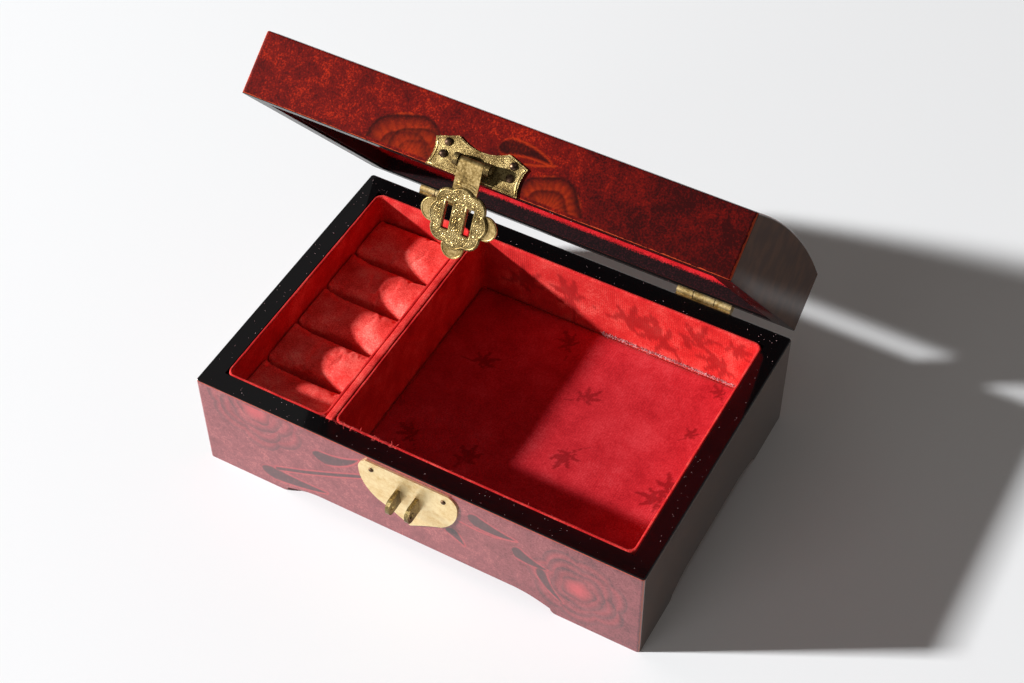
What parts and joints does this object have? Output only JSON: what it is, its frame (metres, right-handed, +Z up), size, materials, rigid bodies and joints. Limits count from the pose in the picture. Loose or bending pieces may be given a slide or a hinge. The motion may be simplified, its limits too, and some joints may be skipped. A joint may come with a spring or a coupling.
{
  "type": "lacquer jewelry box",
  "caption": "Hinged wooden jewelry box on bracket feet, with a lined main compartment, padded ring rolls, an arched lid and a flower-shaped hasp that closes over lugs.",
  "frame": {"origin": "on the table, under the middle of the open box", "axes": "+X to the right along the front, +Y to the hinges at the back, +Z up"},
  "size_m": [0.2, 0.1646, 0.1738],
  "materials": {
    "red_lacquer": "gloss lacquer",
    "black_lacquer": "gloss lacquer",
    "red_velvet": "short pile",
    "red_damask": "woven",
    "satin_brass": "satin",
    "aged_brass": "stippled, aged",
    "dark_brass": "dark patina"
  },
  "bodies": {
    "base": {"base_front_board": "red_lacquer", "base_back_board": "red_lacquer", "base_left_board": "black_lacquer", "base_right_board": "black_lacquer", "base_bottom_panel": "black_lacquer", "divider_board": "red_velvet", "main_wall_lining": "red_velvet", "ring_wall_lining": "red_velvet", "main_floor_pad": "red_damask", "ring_roll_1": "red_velvet", "ring_roll_2": "red_velvet", "ring_roll_3": "red_velvet", "ring_roll_4": "red_velvet", "ring_roll_5": "red_velvet", "left_hinge_base_leaf": "satin_brass", "right_hinge_base_leaf": "satin_brass", "left_hinge_pin": "satin_brass", "right_hinge_pin": "satin_brass", "hinge_screws_base": "dark_brass", "clasp_base_plate": "satin_brass", "clasp_left_lug": "aged_brass", "clasp_right_lug": "aged_brass", "base_plate_nails": "dark_brass"},
    "lid": {"lid_front_board": "red_lacquer", "lid_back_board": "red_lacquer", "lid_left_board": "black_lacquer", "lid_right_board": "black_lacquer", "lid_top_panel": "black_lacquer", "lid_wall_lining": "red_velvet", "lid_top_pad": "red_velvet", "left_hinge_lid_leaf": "satin_brass", "right_hinge_lid_leaf": "satin_brass", "hinge_screws_lid": "dark_brass", "clasp_lid_plate": "aged_brass", "lid_plate_nails": "dark_brass"},
    "clasp_pin": {"hasp_pin": "aged_brass"},
    "hasp": {"hasp_strap": "aged_brass", "hasp_flower": "aged_brass"}
  },
  "joints": [
    {"name": "lid_hinge", "type": "hinge", "parent": "base", "child": "lid", "pos_m": [0, 0.06446, 0.04935], "axis": [-1, 0, 0], "range_deg": [-52.8, 41.2]},
    {"name": "hasp_pin_turn", "type": "hinge", "parent": "lid", "child": "clasp_pin", "pos_m": [-0.0013, -0.01691, 0.16573], "axis": [-1, 0, 0], "range_deg": [-14.6, 18.7]},
    {"name": "hasp_swing", "type": "hinge", "parent": "clasp_pin", "child": "hasp", "pos_m": [-0.0013, -0.01691, 0.16573], "axis": [-1, 0, 0], "range_deg": [0, 160]}
  ],
  "couplings": [
    {"joint": "hasp_pin_turn", "follows": "lid_hinge", "ratio": -0.3504}
  ]
}
